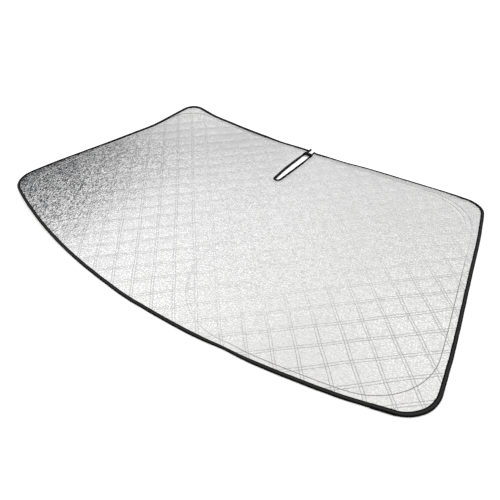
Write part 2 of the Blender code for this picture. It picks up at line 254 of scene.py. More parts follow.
@dataclass(frozen=True)
class Pattern:
    """The shade's flat pattern and the way it lies."""

    lower_width: float = 1.4250
    upper_width: float = 1.1490
    depth: float = 0.8510
    lower_edge_bow: float = 0.1215
    side_bow: float = 0.0060
    upper_edge_dip: float = 0.0084
    lower_corner_radius: float = 0.083
    upper_corner_radius: float = 0.062
    slot_depth: float = 0.218
    slot_mouth_width: float = 0.0155
    slot_middle_width: float = 0.0235
    slot_end_width: float = 0.0150
    hoop_from_lower_edge: float = 0.0190
    hoop_from_side: float = 0.0230
    hoop_from_upper_edge: float = 0.0230
    hoop_from_middle: float = 0.0580
    hoop_inner_bow: float = 0.0030
    hoop_radii: tuple[float, float, float, float] = (0.155, 0.150, 0.166, 0.205)
    left_end_lift: float = 0.0215
    far_side_sink: float = 0.0040
    corner_curl: float = 0.0310
    edge_lip: float = 0.0090
    slot_lip: float = 0.0065
    strays: tuple[tuple[float, float, float, float, float], ...] = (
        (0.110, 0.4175, 0.0, -0.0075, 0.075), (0.551, 0.418, -0.0010, -0.0040, 0.050),
        (0.680, -0.120, 0.0016, 0.0, 0.110), (0.610, 0.260, 0.0018, 0.0, 0.090),
        (0.540, -0.357, 0.0, -0.0012, 0.055), (0.295, -0.405, 0.0, 0.0038, 0.045),
        (0.000, -0.425, 0.0, -0.0018, 0.060), (-0.616, 0.231, 0.0070, 0.0, 0.070),
        (-0.700, -0.230, 0.0040, 0.0, 0.050), (-0.444, 0.422, 0.0, -0.0040, 0.050),
        (0.025, 0.4175, -0.0015, -0.0045, 0.030), (-0.125, 0.4175, 0.0, -0.0040, 0.050),
        (-0.690, -0.310, 0.0050, 0.0, 0.060), (0.0, 0.2075, 0.0018, 0.0, 0.035))

    def laid(self, x: Array, y: Array) -> tuple[Array, Array]:
        """Return where points of the pattern lie, as the soft rim strays in and out a little.

        Each stray is a place, the way that the shade lies off its pattern there, and how far round
        the place it reaches.
        """
        out_x, out_y = x, y
        for place_x, place_y, shift_x, shift_y, reach in self.strays:
            share = hill(x, y, place_x, place_y, reach)
            out_x, out_y = out_x + shift_x * share, out_y + shift_y * share
        return out_x, out_y

    def lift(self, x: Array, y: Array) -> Array:
        """Return the height that points gain where the lying shade stands off the floor."""
        left = np.maximum(0.0, -x / (self.lower_width / 2))
        far = np.maximum(0.0, y / (self.depth / 2))
        sink = self.far_side_sink * smooth(0.8 + 2 * y / self.depth)
        curl = self.corner_curl * (left * self.lower_width / self.upper_width) ** 3 * far ** 3
        return (self.left_end_lift - sink) * left ** 2 + curl

    def edges(self) -> tuple[Arc, Arc, Arc, Arc, list[Vector]]:
        """Return the upper, left, lower and right edges, and the points they would meet in."""
        half_low, half_high = self.lower_width / 2, self.upper_width / 2
        top, low = self.depth / 2, self.lower_edge_bow - self.depth / 2
        upper_left, lower_left = Vector((-half_high, top)), Vector((-half_low, low))
        lower_right, upper_right = Vector((half_low, low)), Vector((half_high, top))
        return (Arc.through(upper_right, upper_left, -self.upper_edge_dip),
                Arc.through(upper_left, lower_left, self.side_bow),
                Arc.through(lower_left, lower_right, self.lower_edge_bow),
                Arc.through(lower_right, upper_right, self.side_bow),
                [upper_left, lower_left, lower_right, upper_right])

    def edge(self) -> Chain:
        """Return the bound outline, as if it had no slot."""
        *arcs, meets = self.edges()
        radii = (self.upper_corner_radius, self.lower_corner_radius,
                 self.lower_corner_radius, self.upper_corner_radius)
        corners = [arcs[k].corner(arcs[(k + 1) % 4], radii[k], meets[k]) for k in range(4)]
        return Chain(tuple(arcs), tuple(corners))

    def right_hoop(self) -> Chain:
        """Return the line of the right hoop."""
        upper, _, lower, right, meets = self.edges()
        inner_top = Vector((self.hoop_from_middle, self.depth / 2))
        inner_low = Vector((self.hoop_from_middle, -self.depth / 2))
        arcs = (lower.moved_in(self.hoop_from_lower_edge), right.moved_in(self.hoop_from_side),
                upper.moved_in(self.hoop_from_upper_edge),
                Arc.through(inner_top, inner_low, self.hoop_inner_bow))
        nears = (meets[2], meets[3], inner_top, inner_low)
        corners = [arcs[k].corner(arcs[(k + 1) % 4], self.hoop_radii[k], nears[k]) for k in range(4)]
        return Chain(arcs, tuple(corners))

    def upper_edge_height(self, x: float) -> float:
        """Return the height of the bound upper edge at a distance from the middle."""
        upper = self.edges()[0]
        return upper.centre.y - math.sqrt(upper.radius ** 2 - x ** 2)

    def slot_parts(self) -> tuple[Vector, Arc, Arc]:
        """Return the slot's right mouth corner, its right side and its round end."""
        mouth_x, end_radius = self.slot_mouth_width / 2, self.slot_end_width / 2
        mouth = Vector((mouth_x, self.upper_edge_height(mouth_x)))
        end = Arc(Vector((0.0, mouth.y - self.slot_depth + end_radius)), -end_radius)
        bow = (mouth_x + end_radius - self.slot_middle_width) / 2
        return mouth, Arc.through(mouth, end.centre + Vector((end_radius, 0.0)), bow), end

    def slot_places(self, spacing: float) -> Places:
        """Walk round the slot's edge, from its right mouth corner to the tip that stands out left."""
        mouth, side, end = self.slot_parts()
        end_side = end.centre + Vector((abs(end.radius), 0.0))
        end_middle = end.centre - Vector((0.0, abs(end.radius)))
        half = [(mouth, (side.centre - mouth).normalized())]
        half += side.walk(mouth, end_side, spacing) + end.walk(end_side, end_middle, spacing / 3)
        flip = mirrored(half)
        return half + flip[-2::-1] + [(Vector((-mouth.x, self.depth / 2)), flip[0][1])]

    def from_slot(self, x: Array, y: Array) -> Array:
        """Return how far points lie outside the slot."""
        _, side, end = self.slot_parts()
        across = np.abs(x)
        return np.where(y < end.centre.y, end.inward(across, y), side.inward(across, y))


@dataclass(frozen=True)
class Quilting:
    """The grid of sewn double rows, laid corner-wise over the sheet."""

    cell: float = 0.0520
    turn: float = math.radians(44.5)
    start: Pair = (-0.0196, -0.0090)
    row_gap: float = 0.0062
    waver: float = 0.0011
    waver_length: float = 0.21
    cross_share: float = 0.6
    waves: tuple[tuple[float, ...], ...] = ((0.6, 0.0, 2.3, 1.1), (-0.5, 2.0, 1.9, 0.4))

    def sway(self, x: Array, y: Array) -> tuple[Array, Array]:
        """Return how far the sewn rows stray from their straight lines, in both directions.

        Each wave is its lean and start, and the pace and start of the smaller one that crosses it.
        """
        k = 2 * math.pi / self.waver_length
        strays = []
        for (a, b), (lean, start, pace, crossing) in zip(((x, y), (y, x)), self.waves):
            wave = np.sin(k * (a + lean * b) + start)
            strays.append(self.waver * (wave + self.cross_share * np.sin(pace * k * b + crossing)))
        return strays[0], strays[1]

    def to_grid(self, x: Array, y: Array) -> tuple[Array, Array]:
        """Return where points of the sheet lie in the quilting's own grid."""
        c, s = math.cos(self.turn), math.sin(self.turn)
        du, dv = self.sway(x, y)
        px, py = x - self.start[0], y - self.start[1]
        return px * c + py * s + du, py * c - px * s + dv

    def to_sheet(self, u: Array, v: Array) -> tuple[Array, Array]:
        """Return where points of the quilting's grid lie on the sheet."""
        c, s = math.cos(self.turn), math.sin(self.turn)
        x, y = u * c - v * s + self.start[0], u * s + v * c + self.start[1]
        du, dv = self.sway(x, y)
        u, v = u - du, v - dv
        return u * c - v * s + self.start[0], u * s + v * c + self.start[1]

    def from_seam(self, u: Array) -> Array:
        """Return the distance to the middle of the nearest seam across it."""
        half = self.cell / 2
        return half - np.abs(np.mod(u, self.cell) - half)


# Looks

def linear(code: str) -> tuple[float, float, float, float]:
    """Return an sRGB hex colour as linear values.

    Args:
        code: Six hex digits.

    Returns:
        Linear red, green, blue and an alpha of 1.
    """
    parts = [int(code[k:k + 2], 16) / 255 for k in (0, 2, 4)]
    return (*(p / 12.92 if p <= 0.04045 else ((p + 0.055) / 1.055) ** 2.4 for p in parts), 1.0)


def add(tree: Tree, kind: str, inputs: Optional[dict[Union[int, str], SocketValue]] = None,
        out: Union[int, str] = 0, **settings: object) -> Socket:
    """Add a node with its settings, values and links.

    Args:
        tree: Tree that takes the node.
        kind: Node type, without its ShaderNode prefix.
        inputs: Values and sockets by input name or index.
        out: Name or index of the output that is wanted.
        settings: Properties of the node.

    Returns:
        The wanted output socket.
    """
    made = tree.nodes.new("ShaderNode" + kind)
    for name, value in settings.items():
        setattr(made, name, value)
    for key, value in (inputs or {}).items():
        if isinstance(value, Socket):
            tree.links.new(value, made.inputs[key])
        else:
            made.inputs[key].default_value = value
    return made.outputs[out]


def new_material(name: str) -> tuple[Material, Tree]:
    """Return a material with an empty node tree."""
    material = bpy.data.materials.new(name)
    material.use_nodes = True
    material.node_tree.nodes.clear()
    return material, material.node_tree


def maths(tree: Tree, operation: str, *values: SocketValue, clamp: bool = False) -> Socket:
    """Return the result of a sum with sockets and numbers."""
    return add(tree, "Math", dict(enumerate(values)), operation=operation, use_clamp=clamp)


def ramp(tree: Tree, value: Socket, span: Pair = (0.0, 1.0), ends: Pair = (0.0, 1.0),
         eased: bool = False) -> Socket:
    """Return a value carried from one span over to another, and held at its ends.

    Args:
        tree: Tree that takes the nodes.
        value: The value.
        span: Where it starts and stops.
        ends: What it becomes there.
        eased: Whether it sets off and arrives softly.

    Returns:
        The new value.
    """
    return add(tree, "MapRange", {"Value": value, "From Min": span[0], "From Max": span[1],
                                  "To Min": ends[0], "To Max": ends[1]},
               interpolation_type="SMOOTHSTEP" if eased else "LINEAR")


def crest(tree: Tree, value: Socket, middle: float, width: float, eased: bool = True) -> Socket:
    """Return 1 where a value meets a middle, falling to 0 at a width beside it."""
    aside = maths(tree, "ABSOLUTE", maths(tree, "SUBTRACT", value, middle))
    return ramp(tree, aside, (0.0, width), (1.0, 0.0), eased)


def mark(tree: Tree, name: str) -> Socket:
    """Return a value that the sheet's points carry."""
    return add(tree, "Attribute", out="Fac", attribute_name=name)


def part(tree: Tree, vector: Socket, axis: str) -> Socket:
    """Return a vector's part along one axis."""
    return add(tree, "SeparateXYZ", {0: vector}, out=axis)


def rolled(tree: Tree, place: Socket, turn: float, size: Pair) -> Socket:
    """Return places on a turned grid whose cells have a size."""
    return add(tree, "Mapping", {"Vector": place, "Rotation": (0.0, 0.0, turn),
                                 "Scale": (*size, 1.0)}, vector_type="TEXTURE")


def speckle(tree: Tree, place: Socket, size: float, detail: float = 0.0, out: str = "Fac") -> Socket:
    """Return a soft random pattern whose spots have a size."""
    return add(tree, "TexNoise", {"Vector": place, "Scale": 1 / size, "Detail": detail}, out=out)


def tinted(tree: Tree, share: Socket, first: SocketValue, second: SocketValue) -> Socket:
    """Return a colour that goes from the first to the second with a share."""
    return add(tree, "Mix", {0: share, 6: first, 7: second}, out=2, data_type="RGBA")


def surface(tree: Tree, inputs: dict[str, SocketValue]) -> None:
    """Give a material its Principled surface.

    Args:
        tree: The material's node tree.
        inputs: Values and sockets of the Principled shader.
    """
    shader = add(tree, "BsdfPrincipled", inputs)
    output = tree.nodes.new("ShaderNodeOutputMaterial")
    tree.links.new(shader, output.inputs["Surface"])


@dataclass(frozen=True)
class EmbossedFoil:
    """Aluminised polyester film on thin foam, rolled with a pebble emboss and sewn in double rows.

    The film is a half-bright metal. Where it is bent, the emboss opens into leaning facets and short
    dashes that break its reflections into a fine sparkle. Its worm ridges carry painted crease shade.
    Each sewn row is a thin, darker, broken line, partly thread colour and partly painted shade of the
    stitch holes.
    """

    quilting: Quilting
    colour: str = "F5F5F5"
    crease_shade_colour: str = "DCDCDD"
    thread_and_shade_colour: str = "7E7F81"
    roughness: float = 0.11
    film_turn: float = math.radians(18.0)
    pebble: Pair = (0.0069, 0.0046)
    pebble_bend: Pair = (0.012, 0.005)
    pebble_width: float = 0.13
    pebble_heights: Pair = (0.00026, 0.000091)
    dash: Pair = (0.0088, 0.0038)
    dash_turns: Pair = (math.radians(113.0), math.radians(-6.0))
    dash_span: Pair = (0.52, 0.64)
    dash_clear: Pair = (0.0030, 0.0055)
    dash_height: float = 0.00080
    facet: Pair = (0.0052, 0.0034)
    facet_tilt: float = 0.44
    grit: float = 0.0024
    grit_height: float = 0.00005
    crinkle: Pair = (0.028, 0.0054)
    crinkle_patch: float = 0.11
    crinkle_span: Pair = (0.46, 0.60)
    crinkle_height: float = 0.00024
    row_share: float = 0.78
    row_width: float = 0.0013
    row_depth: float = 0.00012
    hoop_row_width: float = 0.0017
    stitch: float = 0.0060
    stitch_gap: Pair = (0.0006, 0.0012)
    stitch_least: float = 0.85
    ridge: float = 0.0042
    slack_ridge: float = 0.0180
    ridge_width: float = 0.0030
    ridge_height: float = 0.00120

    def material(self) -> Material:
        """Return the foil's material."""
        material, tree = new_material("aluminised_film_embossed")
        grid, place = add(tree, "UVMap", uv_map="quilt"), add(tree, "TexCoord", out="Object")
        across, along = part(tree, grid, "X"), part(tree, grid, "Y")
        rows = maths(tree, "MAXIMUM", self.row(tree, across, along), self.row(tree, along, across))
        sewn = maths(tree, "MULTIPLY", rows, mark(tree, "row_shade_and_depth"))
        sewn = maths(tree, "MULTIPLY", sewn, self.row_share)
        away, bend = mark(tree, "hoop_distance"), mark(tree, "film_bend")
        # Painted shade: the stitch rows and hoop seams are tinted towards grey, partly thread colour
        # and partly shade of the stitch holes; the same marks also sink as grooves.
        dark = maths(tree, "MAXIMUM", sewn, self.hoop_row(tree, away))
        pebble = self.pebbles(tree, place)
        height = maths(tree, "MULTIPLY", pebble, ramp(tree, bend, ends=self.pebble_heights))
        for layer, amount in ((speckle(tree, place, self.grit, 1.0), self.grit_height),
                              (self.dashes(tree, place, bend, away), self.dash_height),
                              (self.crinkles(tree, place), self.crinkle_height),
                              (dark, -self.row_depth), (self.ridges(tree, away), self.ridge_height)):
            height = maths(tree, "MULTIPLY_ADD", layer, amount, height)
        normal = add(tree, "Bump", {"Height": height, "Strength": 1.0, "Distance": 1.0,
                                    "Normal": self.facets(tree, place, bend)})
        # Painted shade: the emboss's worm ridges are tinted a darker grey.
        crease_shaded = tinted(tree, pebble, linear(self.colour), linear(self.crease_shade_colour))
        surface(tree, {"Base Color": tinted(tree, dark, crease_shaded, linear(self.thread_and_shade_colour)),
                       "Metallic": 1.0, "Roughness": self.roughness, "Normal": normal})
        return material

    def pebbles(self, tree: Tree, place: Socket) -> Socket:
        """Return the emboss: short worm-like ridges, 1 on a ridge and 0 beside it."""
        size, amount = self.pebble_bend
        bend = speckle(tree, place, size, 1.0, "Color")
        bent = add(tree, "VectorMath", {0: bend, 1: (amount, amount, amount)}, operation="MULTIPLY")
        moved = add(tree, "VectorMath", {0: place, 1: bent}, operation="ADD")
        worms = speckle(tree, rolled(tree, moved, self.film_turn, self.pebble), 1.0)
        return crest(tree, worms, 0.5, self.pebble_width)

    def dashes(self, tree: Tree, place: Socket, bend: Socket, away: Socket) -> Socket:
        """Return the short crossed dashes that stand up where the film is bent or pulled.

        Args:
            tree: Tree that takes the nodes.
            place: Where points lie on the shade.
            bend: How far the film is bent.
            away: How far they lie inwards from a hoop's seam, whose channel pulls the film flat.

        Returns:
            The height of the dashes, 1 on top of a full one.
        """
        sets = []
        for turn, share in zip(self.dash_turns, (bend, mark(tree, "film_pull"))):
            grain = speckle(tree, rolled(tree, place, turn, self.dash), 1.0)
            sets.append(maths(tree, "MULTIPLY", ramp(tree, grain, self.dash_span), share))
        beside = maths(tree, "ABSOLUTE", maths(tree, "SUBTRACT", away, self.ridge))
        return maths(tree, "MULTIPLY", maths(tree, "MAXIMUM", *sets),
                     ramp(tree, beside, self.dash_clear))

    def facets(self, tree: Tree, place: Socket, bend: Socket) -> Socket:
        """Return the film's normal, leant at random from one small facet of the emboss to the next.

        Args:
            tree: Tree that takes the nodes.
            place: Where points lie on the shade.
            bend: How far the film is bent, which opens the facets.

        Returns:
            The normal.
        """
        turned = rolled(tree, place, self.dash_turns[0], self.facet)
        cell = add(tree, "TexVoronoi", {"Vector": turned, "Scale": 1.0}, out="Color",
                   voronoi_dimensions="2D")
        centred = add(tree, "VectorMath", {0: cell, 1: (0.5, 0.5, 0.5)}, operation="SUBTRACT")
        tilt = ramp(tree, bend, ends=(0.0, self.facet_tilt))
        lean = add(tree, "VectorMath", {0: centred, "Scale": tilt}, operation="SCALE")
        flat = add(tree, "NewGeometry", out="Normal")
        leant = add(tree, "VectorMath", {0: lean, 1: flat}, operation="ADD")
        return add(tree, "VectorMath", {0: leant}, operation="NORMALIZE")

    def crinkles(self, tree: Tree, place: Socket) -> Socket:
        """Return long slack creases in the film, which come and go from place to place."""
        fold = speckle(tree, rolled(tree, place, self.film_turn, self.crinkle), 1.0, 1.0)
        patch = speckle(tree, place, self.crinkle_patch, 1.0)
        return maths(tree, "MULTIPLY", fold, ramp(tree, patch, self.crinkle_span))

    def row(self, tree: Tree, across: Socket, along: Socket) -> Socket:
        """Return how strongly a point belongs to the stitches of the rows that run one way."""
        seam = maths(tree, "PINGPONG", across, self.quilting.cell / 2)
        line = crest(tree, seam, self.quilting.row_gap / 2, self.row_width)
        beat = maths(tree, "PINGPONG", along, self.stitch / 2)
        return maths(tree, "MULTIPLY", line,
                     ramp(tree, beat, self.stitch_gap, (self.stitch_least, 1.0)))

    def hoop_row(self, tree: Tree, away: Socket) -> Socket:
        """Return how strongly a point belongs to the seams that hold the hoops' channels."""
        line = crest(tree, away, 0.0, self.hoop_row_width)
        return maths(tree, "MULTIPLY", line, mark(tree, "hoop_seam_shade_and_depth"))

    def ridges(self, tree: Tree, away: Socket) -> Socket:
        """Return the ridge that a hoop raises beside its seam, and the slack one further in."""
        raised = []
        for offset, share in ((self.ridge, "hoop_push"), (self.slack_ridge, "hoop_slack")):
            ridge = crest(tree, away, offset, self.ridge_width, False)
            raised.append(maths(tree, "MULTIPLY", ridge, mark(tree, share)))
        return maths(tree, "ADD", *raised)


@dataclass(frozen=True)
class WovenTape:
    """Polyester grosgrain tape, woven with a fine cross rib and two flat selvages.

    A grey stripe of painted highlight runs along the middle of the folded tape's upper face, between
    two black lines; the rib adds its fine grain to the stripe.
    """

    colour: str = "070708"
    highlight_stripe_colour: str = "363638"
    roughness: float = 0.85
    gloss: float = 0.05
    rib: float = 0.0021
    rib_lean: float = 0.6
    rib_share: float = 0.45
    rib_height: float = 0.0002
    fleck: float = 0.0016
    stripe: Pair = (0.0028, 0.0072)
    stripe_blur: float = 0.0006

    def material(self) -> Material:
        """Return the tape's material."""
        material, tree = new_material("polyester_grosgrain")
        place = add(tree, "UVMap", uv_map="tape")
        along, around = part(tree, place, "X"), part(tree, place, "Y")
        # Painted highlight: a grey band along the middle of the tape's upper face.
        sides = [ramp(tree, around, (side - self.stripe_blur, side + self.stripe_blur))
                 for side in self.stripe]
        stripe = maths(tree, "SUBTRACT", *sides, clamp=True)
        lean = maths(tree, "MULTIPLY_ADD", around, self.rib_lean, along)
        beat = maths(tree, "PINGPONG", lean, self.rib / 2)
        rib = maths(tree, "MULTIPLY", beat, 2 / self.rib)
        fleck = speckle(tree, place, self.fleck, 2.0)
        tone = maths(tree, "MULTIPLY_ADD", rib, self.rib_share, fleck)
        share = maths(tree, "MULTIPLY", stripe, tone, clamp=True)
        height = maths(tree, "MULTIPLY", rib, self.rib_height)
        normal = add(tree, "Bump", {"Height": height, "Strength": 1.0, "Distance": 1.0})
        surface(tree, {"Base Color": tinted(tree, share, linear(self.colour), linear(self.highlight_stripe_colour)),
                       "Roughness": self.roughness, "Normal": normal,
                       "Specular IOR Level": self.gloss})
        return material


@dataclass(frozen=True)
class BackingCloth:
    """Polyester taffeta, plain woven and calendered: a dull dark cloth with a faint crossed grain."""

    colour: str = "3A3B3E"
    light_colour: str = "4A4B4F"
    roughness: float = 0.78
    thread: float = 0.0016
    grain_turn: float = math.radians(2.0)
    cloud: float = 1 / 9
    weave_strength: float = 0.5
    weave_depth: float = 0.3

    def material(self) -> Material:
        """Return the cloth's material."""
        material, tree = new_material("polyester_taffeta")
        place = add(tree, "TexCoord", out="Object")
        turned = add(tree, "Mapping", {"Vector": place, "Rotation": (0.0, 0.0, self.grain_turn)})
        beats = [maths(tree, "PINGPONG", part(tree, turned, axis), self.thread / 2) for axis in "XY"]
        weave = maths(tree, "ADD", *beats)
        share = maths(tree, "MULTIPLY", weave, 1 / self.thread)
        share = maths(tree, "MULTIPLY", share, speckle(tree, place, self.cloud, 3.0))
        normal = add(tree, "Bump", {"Height": weave, "Strength": self.weave_strength,
                                    "Distance": self.weave_depth})
        surface(tree, {"Base Color": tinted(tree, share, linear(self.colour),
                                            linear(self.light_colour)),
                       "Roughness": self.roughness, "Normal": normal})
        return material


@dataclass(frozen=True)
class SpringSteel:
    """Cold-rolled carbon spring steel strip, bright with fine lines along its length."""

    colour: str = "B4B5B8"
    roughness: Pair = (0.26, 0.42)
    streak: float = 0.004

    def material(self) -> Material:
        """Return the steel's material."""
        material, tree = new_material("spring_steel_rolled")
        streak = speckle(tree, add(tree, "TexCoord", out="Object"), self.streak, 3.0)
        surface(tree, {"Base Color": linear(self.colour), "Metallic": 1.0,
                       "Roughness": ramp(tree, streak, ends=self.roughness)})
        return material


# Pieces

def placed(name: str, bm: bmesh.types.BMesh, materials: Sequence[Material]) -> bpy.types.Object:
    """Put a bmesh into the scene as an object, and free it.

    Args:
        name: Name of the object.
        bm: Its mesh.
        materials: Its materials, by index.

    Returns:
        The object.
    """
    mesh = bpy.data.meshes.new(name)
    bm.to_mesh(mesh)
    bm.free()
    for material in materials:
        mesh.materials.append(material)
    item = bpy.data.objects.new(name, mesh)
    bpy.context.scene.collection.objects.link(item)
    return item


def finished(name: str, bm: bmesh.types.BMesh, materials: Sequence[Material],
             sharp: float = 50.0) -> bpy.types.Object:
    """Turn a bmesh into a piece that rides on the shade.

    Args:
        name: Name of the piece.
        bm: Its mesh, which is freed.
        materials: Its materials, by index.
        sharp: Angle in degrees over which an edge stays sharp.

    Returns:
        The object.
    """
    item = placed(name, bm, materials)
    item.data.shade_smooth()
    item.data.set_sharp_from_angle(angle=math.radians(sharp))
    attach(item, "root")
    log.info("%s: %d faces", name, len(item.data.polygons))
    return item


@dataclass
class QuiltedPanel:
    """The sewn sheet: embossed foil in front, foam between, and backing cloth behind."""

    pattern: Pattern
    quilting: Quilting
    sheet_bottom: float = 0.0017
    sheet_top: float = 0.0037
    under_tape: float = 0.0017
    front_columns: tuple[float, ...] = (0.0, 0.0019, 0.0031, 0.0043, 0.0072, 0.0120, 0.0185)
    back_columns: tuple[float, ...] = (0.0, 0.0040, 0.0140)
    field_rise: float = 0.0006
    front_puff: float = 0.00035
    back_puff: float = 0.0011
    puff_reach: float = 0.0065
    between_rows: float = 0.30
    lip_fade: float = 0.014
    sag: float = 0.0006
    channel_half: float = 0.0075
    rim_rounds: int = 3
    rim_step: float = 1e-5
    least_slope: float = 0.25
    slack_scale: float = 7.0
    slack_seed: float = 0.3
    slack_share: float = 0.25
    left_end: Pair = (0.42, 0.12)
    near_side: Pair = (0.27, 0.04)
    rows_least: float = 0.15
    row_fades: tuple[tuple[float, ...], ...] = (
        (-1, 0.90, -0.05, 0.35, 0.55), (1, 0.55, 0.35, 0.30, 0.75))
    seam_least: float = 0.12
    seam_spots: tuple[Spot, ...] = ((0.25, 0.12, -0.31, 0.12),)
    seam_right: float = 0.88
    seam_from: Pair = (0.12, 0.28)
    seam_far_loss: float = 0.85
    seam_far: Pair = (0.05, 0.20)
    push_least: float = 0.15
    push_left: float = 1.05
    push_near_loss: float = 0.45
    push_spots: tuple[Spot, ...] = ((0.5, 0.12, -0.33, 0.10), (0.7, 0.55, 0.36, 0.12))
    slack_spots: tuple[Spot, ...] = ((0.90, 0.51, 0.35, 0.11), (0.40, 0.13, -0.31, 0.09))
    drawn_in: tuple[float, float, float] = (0.0125, -0.19, 0.075)
    drawn_out: tuple[float, float, float] = (0.012, -0.04, 0.09)
    bend_left: Pair = (0.16, 0.34)
    bend_near: Pair = (-0.30, 0.34)
    pull_bend: float = 0.85
    pull_spots: tuple[Spot, ...] = ((0.60, 0.48, 0.16, 0.19),)

    def inward(self, x: Array, y: Array) -> Array:
        """Return how far points lie inside the sheet's cut edge."""
        edge = self.pattern.edge().inward(x, y)
        return np.minimum(edge, self.pattern.from_slot(x, y)) - self.under_tape

    def clear_of_tape(self, x: Array, y: Array) -> Array:
        """Return a share that grows from 0 under the tapes to 1 in the open field."""
        edge = self.pattern.edge().inward(x, y) - self.pattern.edge_lip
        slot = self.pattern.from_slot(x, y) - self.pattern.slot_lip
        return smooth(np.minimum(edge, slot) / self.lip_fade)

    def from_hoop(self, x: Array, y: Array) -> Array:
        """Return the distance inwards from the line of the nearer hoop."""
        return self.pattern.right_hoop().inward(np.abs(x), y)

    def puff(self, x: Array, y: Array) -> Array:
        """Return the share of a full puff at points of the sheet."""
        share = np.ones_like(x)
        for across in self.quilting.to_grid(x, y):
            away = self.quilting.from_seam(across) - self.quilting.row_gap / 2
            cell_side = 1 - np.exp(-np.maximum(away, 0.0) / self.puff_reach)
            inside = self.between_rows * np.clip(-2 * away / self.quilting.row_gap, 0.0, 1.0)
            share = np.where(away > 0, share * cell_side, np.minimum(share, inside))
        return share

    def wander(self, x: Array, y: Array) -> Array:
        """Return the slack of the foam from place to place, between -1 and 1."""
        k, seed = self.slack_scale, self.slack_seed
        return np.array([noise.noise(Vector((a * k, b * k, seed))) for a, b in zip(x, y)])

    def front_height(self, x: Array, y: Array) -> Array:
        """Return the height of the foil over the floor that it would lie on."""
        slack = self.wander(x, y)
        puffed = self.front_puff * self.puff(x, y) * (1.0 + self.slack_share * slack)
        return self.sheet_top + (self.field_rise + puffed + self.sag * slack) * self.clear_of_tape(x, y)

    def back_height(self, x: Array, y: Array) -> Array:
        """Return the height of the backing, which lies flat over the hoop channels."""
        beside = np.clip(np.abs(self.from_hoop(x, y)) / self.channel_half - 1.0, 0.0, 1.0)
        return self.sheet_bottom - self.back_puff * self.puff(x, y) * beside * self.clear_of_tape(x, y)

    def row_shade_and_depth(self, x: Array, y: Array) -> Array:
        """Return how strongly the double rows are marked, with painted shade and groove depth, which is
        most near the lower right corner.

        Each fade is its way along x, its lean with y, where it starts, over what room, and its share.
        """
        return self.rows_least + sum(share * ease(way * x - lean * y, start, over)
                                     for way, lean, start, over, share in self.row_fades)

    def hoop_seam_shade_and_depth(self, x: Array, y: Array) -> Array:
        """Return how strongly the hoop seams are marked, with painted shade and groove depth: the left
        one hardly at all.
        """
        far = 1 - self.seam_far_loss * ease(y, *self.seam_far)
        right = self.seam_right * ease(x, *self.seam_from) * far
        return self.seam_least + np.maximum(hills(x, y, self.seam_spots), right)

    def hoop_push(self, x: Array, y: Array) -> Array:
        """Return how far the hoops push the foil up, which is most round the lifted left end."""
        left = self.push_left - self.push_near_loss * ease(-y, *self.near_side)
        return self.push_least + left * ease(-x, *self.left_end) + hills(x, y, self.push_spots)

    def hoop_slack(self, x: Array, y: Array) -> Array:
        """Return how far the foil is slack inside a hoop, at the corners that the hoop pulls least."""
        return hills(x, y, self.slack_spots)

    def seam_stray(self, x: Array, y: Array) -> Array:
        """Return how far the left seam strays inwards, as the lifted end draws it round the corner."""
        depth, middle, reach = self.drawn_in
        height, start, over = self.drawn_out
        inward = depth * hill(0.0, y, 0.0, middle, reach) - height * ease(y, start, over)
        return inward * ease(-x, *self.left_end)

    def film_bend(self, x: Array, y: Array) -> Array:
        """Return how far the film is bent, which is most at the near side of the lifted end."""
        return ease(-x, *self.bend_left) * ease(-y, *self.bend_near)

    def film_pull(self, x: Array, y: Array) -> Array:
        """Return how far the film is pulled along the shade: at the lifted end and the far right."""
        return self.pull_bend * self.film_bend(x, y) + hills(x, y, self.pull_spots)

    def face(self, columns: Sequence[float],
             height: Callable[[Array, Array], Array]) -> bmesh.types.BMesh:
        """Make one face of the sheet as a grid that is dense along the seams.

        Args:
            columns: Distances of the grid's lines from a seam, up to the middle of a cell.
            height: Gives the height of points of the sheet.

        Returns:
            The trimmed face.
        """
        half = self.quilting.cell / 2
        offsets = list(columns) + [half] + [self.quilting.cell - c for c in columns[:0:-1]]
        reach = math.hypot(self.pattern.lower_width, self.pattern.depth) / 2
        cells = math.ceil(reach / self.quilting.cell) + 1
        lines = np.array([n * self.quilting.cell + offset for n in range(-cells, cells)
                          for offset in offsets])
        bm = bmesh.new()
        bmesh.ops.create_grid(bm, x_segments=len(lines) - 1, y_segments=len(lines) - 1, size=0.5)
        index = np.array([(v.co.x, v.co.y) for v in bm.verts])
        index = np.rint((index + 0.5) * (len(lines) - 1)).astype(int)
        x, y = self.quilting.to_sheet(lines[index[:, 0]], lines[index[:, 1]])
        inward = self.inward(x, y)
        outside = [f for f in bm.faces if sum(inward[v.index] for v in f.verts) < 0]
        for vertex, across, along in zip(bm.verts, x, y):
            vertex.co = (across, along, 0.0)
        bmesh.ops.delete(bm, geom=outside, context="FACES")
        self.snap_rim(bm)
        x, y = np.array([(v.co.x, v.co.y) for v in bm.verts]).T
        z = height(x, y) + self.pattern.lift(x, y)
        marks = {"hoop_distance": self.from_hoop(x, y) - self.seam_stray(x, y),
                 "hoop_seam_shade_and_depth": self.hoop_seam_shade_and_depth(x, y), "hoop_push": self.hoop_push(x, y),
                 "hoop_slack": self.hoop_slack(x, y), "row_shade_and_depth": self.row_shade_and_depth(x, y),
                 "film_bend": self.film_bend(x, y), "film_pull": self.film_pull(x, y)}
        layers = {name: bm.verts.layers.float.new(name) for name in marks}
        grid = bm.loops.layers.uv.new("quilt")
        u, v = self.quilting.to_grid(x, y)
        out_x, out_y = self.pattern.laid(x, y)
        for index, vertex in enumerate(bm.verts):
            for name, layer in layers.items():
                vertex[layer] = marks[name][index]
            for loop in vertex.link_loops:
                loop[grid].uv = (u[index], v[index])
            vertex.co = (out_x[index], out_y[index], z[index])
        return bm

